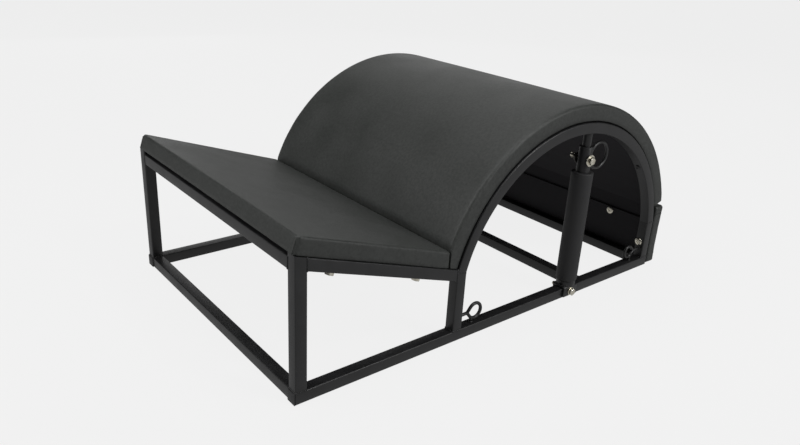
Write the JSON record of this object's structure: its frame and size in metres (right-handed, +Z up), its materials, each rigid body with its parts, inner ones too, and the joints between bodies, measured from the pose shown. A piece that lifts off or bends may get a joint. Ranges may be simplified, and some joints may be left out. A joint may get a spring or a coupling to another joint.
{
  "type": "step barrel",
  "caption": "Padded half barrel behind a sloping padded seat on a welded square tube frame, with an upright turning grip and ring in each side of the arch.",
  "frame": {"origin": "centre of the overall bounding box at floor level", "axes": "+X from the low front of the seat to the back of the barrel, +Y to the right side, +Z up"},
  "size_m": [0.904, 0.583, 0.3755],
  "materials": {
    "frame_paint": "black powder coat, satin",
    "pad_vinyl": "charcoal upholstery vinyl with a fine grain, satin",
    "board_plywood": "plywood stained black, matt",
    "grip_foam": "black foam rubber, matt",
    "fastener_zinc": "bright zinc plate",
    "plug_plastic": "black moulded plastic"
  },
  "bodies": {
    "frame": {"arch_bow_left": "frame_paint", "arch_bow_right": "frame_paint", "arch_leg_left": "frame_paint", "arch_leg_right": "frame_paint", "barrel_board": "board_plywood", "barrel_pad": "pad_vinyl", "barrel_screw_front_left": "fastener_zinc", "barrel_screw_front_right": "fastener_zinc", "barrel_screw_rear_left": "fastener_zinc", "barrel_screw_rear_right": "fastener_zinc", "base_front_bar": "frame_paint", "base_middle_bar": "frame_paint", "base_rail_left": "frame_paint", "base_rail_right": "frame_paint", "base_rear_bar": "frame_paint", "end_plug_left": "plug_plastic", "end_plug_right": "plug_plastic", "front_eye_left": "frame_paint", "front_eye_right": "frame_paint", "front_leg_left": "frame_paint", "front_leg_right": "frame_paint", "handle_core_left": "frame_paint", "handle_core_right": "frame_paint", "handle_foot_bolt_left": "fastener_zinc", "handle_foot_bolt_right": "fastener_zinc", "handle_foot_nut_left": "fastener_zinc", "handle_foot_nut_right": "fastener_zinc", "handle_ring_left": "frame_paint", "handle_ring_right": "frame_paint", "handle_saddle_left": "frame_paint", "handle_saddle_right": "frame_paint", "handle_spigot_left": "frame_paint", "handle_spigot_right": "frame_paint", "handle_top_bolt_left": "fastener_zinc", "handle_top_bolt_right": "fastener_zinc", "handle_top_nut_left": "fastener_zinc", "handle_top_nut_right": "fastener_zinc", "liner_screw_left": "fastener_zinc", "liner_screw_right": "fastener_zinc", "rear_board": "board_plywood", "rear_eye_left": "frame_paint", "rear_eye_right": "frame_paint", "rear_leg_left": "frame_paint", "rear_leg_right": "frame_paint", "rear_liner": "board_plywood", "rear_pad": "pad_vinyl", "rear_pad_bolt_left": "fastener_zinc", "rear_pad_bolt_right": "fastener_zinc", "seat_board": "board_plywood", "seat_bolt_front_left": "fastener_zinc", "seat_bolt_front_right": "fastener_zinc", "seat_bolt_rear_left": "fastener_zinc", "seat_bolt_rear_right": "fastener_zinc", "seat_front_bar": "frame_paint", "seat_pad": "pad_vinyl", "seat_rail_left": "frame_paint", "seat_rail_right": "frame_paint"},
    "left_grip": {"grip_left": "grip_foam"},
    "right_grip": {"grip_right": "grip_foam"}
  },
  "joints": [
    {"name": "left_grip_spin", "type": "hinge", "parent": "frame", "child": "left_grip", "pos_m": [0.16249, -0.27, 0.14], "axis": [0, 0, 1], "continuous": true},
    {"name": "right_grip_spin", "type": "hinge", "parent": "frame", "child": "right_grip", "pos_m": [0.16249, 0.27, 0.14], "axis": [0, 0, 1], "continuous": true}
  ]
}
